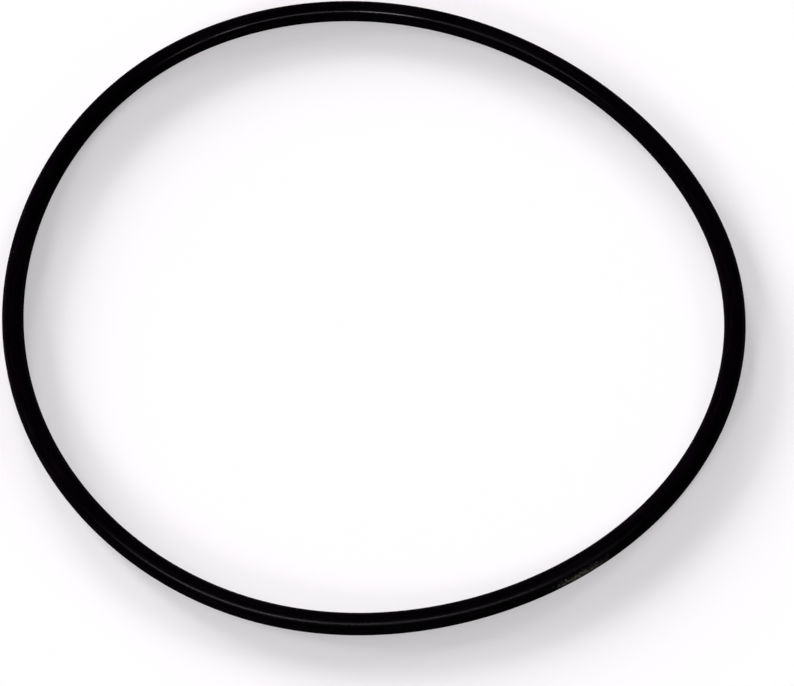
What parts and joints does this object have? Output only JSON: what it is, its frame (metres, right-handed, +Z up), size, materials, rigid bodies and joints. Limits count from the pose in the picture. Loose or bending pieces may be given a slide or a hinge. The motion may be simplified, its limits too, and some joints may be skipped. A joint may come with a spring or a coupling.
{
  "type": "rubber o-ring",
  "caption": "Black rubber sealing ring with a round cord, lying slack, for a groove between two parts of a housing or a pipe joint.",
  "frame": {"origin": "on the surface that the ring lies on, under the middle of its outline", "axes": "+Z up, along the axis the ring was moulded around; +X to the right and -Y towards the viewer of the picture"},
  "size_m": [0.1248, 0.1244, 0.0035],
  "materials": {
    "rubber": "satin black moulded nitrile rubber with faint dust"
  },
  "bodies": {
    "root": {"o_ring": "rubber"}
  },
  "joints": []
}
